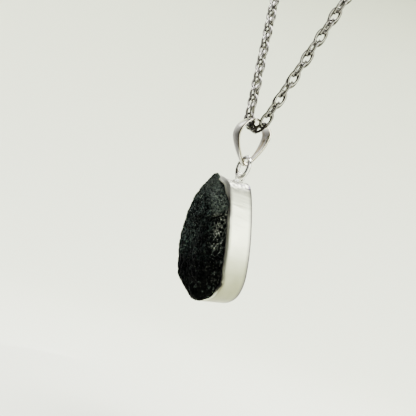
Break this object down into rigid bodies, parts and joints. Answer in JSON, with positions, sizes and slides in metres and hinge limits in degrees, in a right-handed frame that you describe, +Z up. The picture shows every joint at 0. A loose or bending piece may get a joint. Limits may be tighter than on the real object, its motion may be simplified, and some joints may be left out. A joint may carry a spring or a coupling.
{
  "type": "tektite pendant",
  "caption": "Rough, pitted black tektite in a plain silver bezel with a flat back plate, hung by an eyelet, a round jump ring and a tapered teardrop bail on a V of silver chain",
  "frame": {"origin": "midway between the centres of the two end rings, which hold the chain's strands", "axes": "+Z up, as the pendant hangs; -Y is the way the stone faces; +X is to the right seen from the front"},
  "size_m": [0.043, 0.0131, 0.0938],
  "materials": {
    "tektite_glass": "near-black natural glass with a rough, finely pitted skin and a dull shine on its ridges",
    "satin_silver": "satin, near-white silver with faint scratches",
    "bright_silver": "polished silver",
    "chain_silver": "polished silver links, darkened a little in their gaps"
  },
  "bodies": {
    "chain": {"chain": "chain_silver", "end_ring_left": "bright_silver", "end_ring_right": "bright_silver"},
    "bail": {"bail": "bright_silver"},
    "jump_ring": {"jump_ring": "bright_silver"},
    "pendant": {"tektite": "tektite_glass", "bezel_wall": "satin_silver", "back_plate": "satin_silver", "eyelet": "bright_silver"}
  },
  "joints": [
    {"name": "bail_swing", "type": "hinge", "parent": "chain", "child": "bail", "pos_m": [0, -0.0047, -0.0465], "axis": [1, 0, 0], "range_deg": [-60, 60]},
    {"name": "ring_swing", "type": "hinge", "parent": "bail", "child": "jump_ring", "pos_m": [0, -0.0044, -0.054], "axis": [0, 1, 0], "range_deg": [-15, 15]},
    {"name": "pendant_swing", "type": "hinge", "parent": "jump_ring", "child": "pendant", "pos_m": [0, -0.0044, -0.0595], "axis": [1, 0, 0], "range_deg": [-45, 45]}
  ]
}
